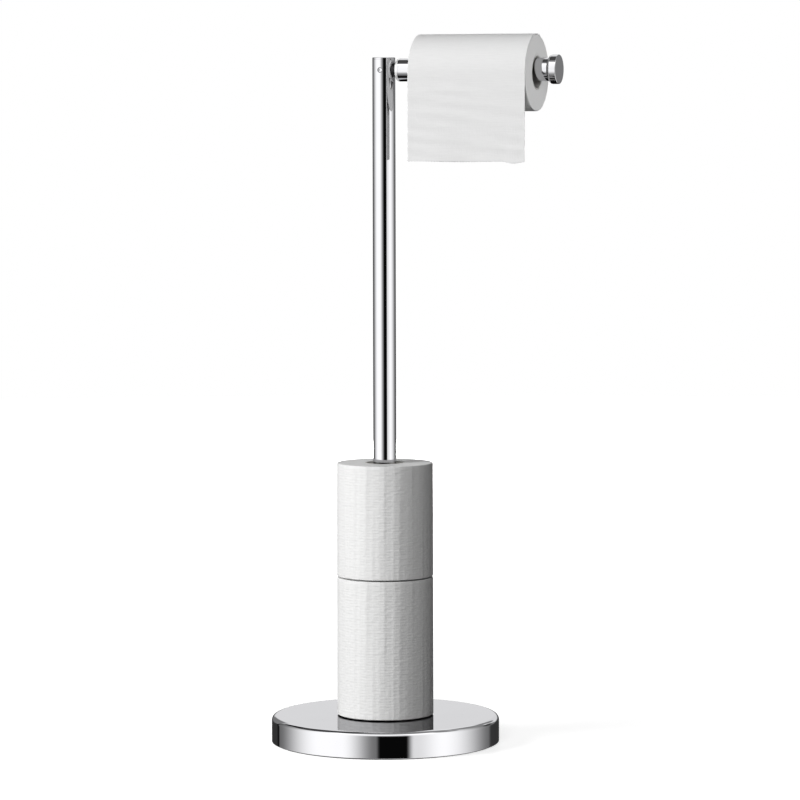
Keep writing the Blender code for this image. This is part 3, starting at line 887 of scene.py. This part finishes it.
# A ceiling and a few round cards: azimuth, elevation and radius in degrees, and shade
for card_azimuth, card_elevation, card_radius, shade in (
    (0, 90, 35, MIDDLE), (-115, 55, 25, DARK), (-140, 35, 10, BLACK), (-155, 12, 15, MIDDLE),
    (85, 48, 12, MIDDLE), (130, 40, 15, MIDDLE), (150, 25, 10, MIDDLE), (140, 5, 6, MIDDLE),
    (130, 12, 9, DARK),
):
    nearness = add_node(
        tree, "VectorMath",
        {"operation": "DOT_PRODUCT", 1: towards(card_azimuth, card_elevation)},
        {0: way.outputs[0]},
    )
    inside = add_node(
        tree, "MapRange",
        {"From Min": math.cos(math.radians(card_radius + CARD_EDGE)),
         "From Max": math.cos(math.radians(card_radius - CARD_EDGE))},
        {"Value": nearness.outputs["Value"]},
    )
    cloth = add_node(
        tree, "Mix", {"data_type": "RGBA", 7: linear(shade)},
        {0: inside.outputs["Result"], 6: cloth.outputs[2]},
    )
# What the metal throws back on the paper is weak, so a path that met paper sees a dim tent
path = add_node(tree, "LightPath")
power = add_node(
    tree, "MapRange", {"To Min": TENT_GLOW, "To Max": DIMMED_GLOW},
    {"Value": path.outputs["Diffuse Depth"]},
)
glow = add_node(
    tree, "Emission", links={"Color": cloth.outputs[2], "Strength": power.outputs["Result"]}
)
add_node(tree, "OutputMaterial", links={"Surface": glow.outputs[0]})
tent.data.materials.append(tent_cloth)
tent.visible_camera = False
tent.visible_diffuse = False
tent.visible_transmission = False
tent.visible_volume_scatter = False
tent.visible_shadow = False


# Lamps
# A large softbox far to the left and a weaker one over the camera light the paper, a low
# one behind lights its back, and a small gridded one opens the face of the roll on the arm.

def softbox(name, azimuth, elevation, distance, size, power, aim):
    """An area lamp at a bearing from the camera's, in degrees, that faces a point."""
    lamp = bpy.data.lights.new(name, "AREA")
    lamp.shape = "DISK"
    lamp.size = size
    lamp.energy = power
    holder = bpy.data.objects.new(name, lamp)
    bpy.context.scene.collection.objects.link(holder)
    holder.location = Vector(aim) + distance * towards(azimuth, elevation)
    holder.rotation_euler = towards(azimuth, elevation).to_track_quat("Z", "Y").to_euler()
    holder.visible_glossy = False
    return lamp


STAND_MIDDLE = (0, 0, 0.3)
ROLL_FACE = (0.15, 0, 0.58)
softbox("key_softbox", -66, 20, 3.0, 1.8, 82, STAND_MIDDLE)
softbox("front_softbox", -8, 20, 3.0, 1.4, 35, STAND_MIDDLE)
softbox("back_softbox", 176, 6, 3.0, 0.9, 50, STAND_MIDDLE)
softbox("arm_softbox", 67, 6, 0.6, 0.25, 0.083, ROLL_FACE).spread = math.radians(30)

# The world is plain white to what looks at it straight, and lights the stand faintly
AMBIENT = 0.035
world = bpy.data.worlds.new("white_studio")
bpy.context.scene.world = world
world.use_nodes = True
tree = world.node_tree
background = tree.nodes["Background"]
background.inputs["Color"].default_value = linear("#FFFFFF")
ray = add_node(tree, "LightPath")
either = add_node(
    tree, "Math", {"operation": "MAXIMUM"},
    {0: ray.outputs["Is Camera Ray"], 1: ray.outputs["Is Glossy Ray"]},
)
shown = add_node(
    tree, "Math", {"operation": "MAXIMUM"},
    {0: either.outputs[0], 1: ray.outputs["Is Transmission Ray"]},
)
level = add_node(
    tree, "MapRange", {"To Min": AMBIENT, "To Max": 1.0}, {"Value": shown.outputs[0]}
)
tree.links.new(level.outputs["Result"], background.inputs["Strength"])


# Camera
# A long lens a little below the arm's height that looks slightly down. It stands 20
# degrees round from square to the arm, on the knob's side, as fitted to the photograph.

CAMERA_DISTANCE = 3.39934
CAMERA_HEIGHT = 0.56385
CAMERA_TILT = math.radians(4.41627)
CAMERA_PAN = math.radians(-0.22628)
CAMERA_ROLL = math.radians(-0.13223)
CAMERA_LENS = 175.36
lens = bpy.data.cameras.new("photo_camera")
lens.sensor_width = 36.0
lens.lens = CAMERA_LENS
camera = bpy.data.objects.new("photo_camera", lens)
bpy.context.scene.collection.objects.link(camera)
camera.location = (
    CAMERA_DISTANCE * math.sin(CAMERA_AZIMUTH),
    -CAMERA_DISTANCE * math.cos(CAMERA_AZIMUTH),
    CAMERA_HEIGHT,
)
camera.rotation_euler = (
    Matrix.Rotation(CAMERA_AZIMUTH + CAMERA_PAN, 3, "Z")
    @ Matrix.Rotation(math.pi / 2 - CAMERA_TILT, 3, "X")
    @ Matrix.Rotation(CAMERA_ROLL, 3, "Z")
).to_euler()
bpy.context.scene.camera = camera
bpy.context.scene.view_settings.view_transform = "Standard"
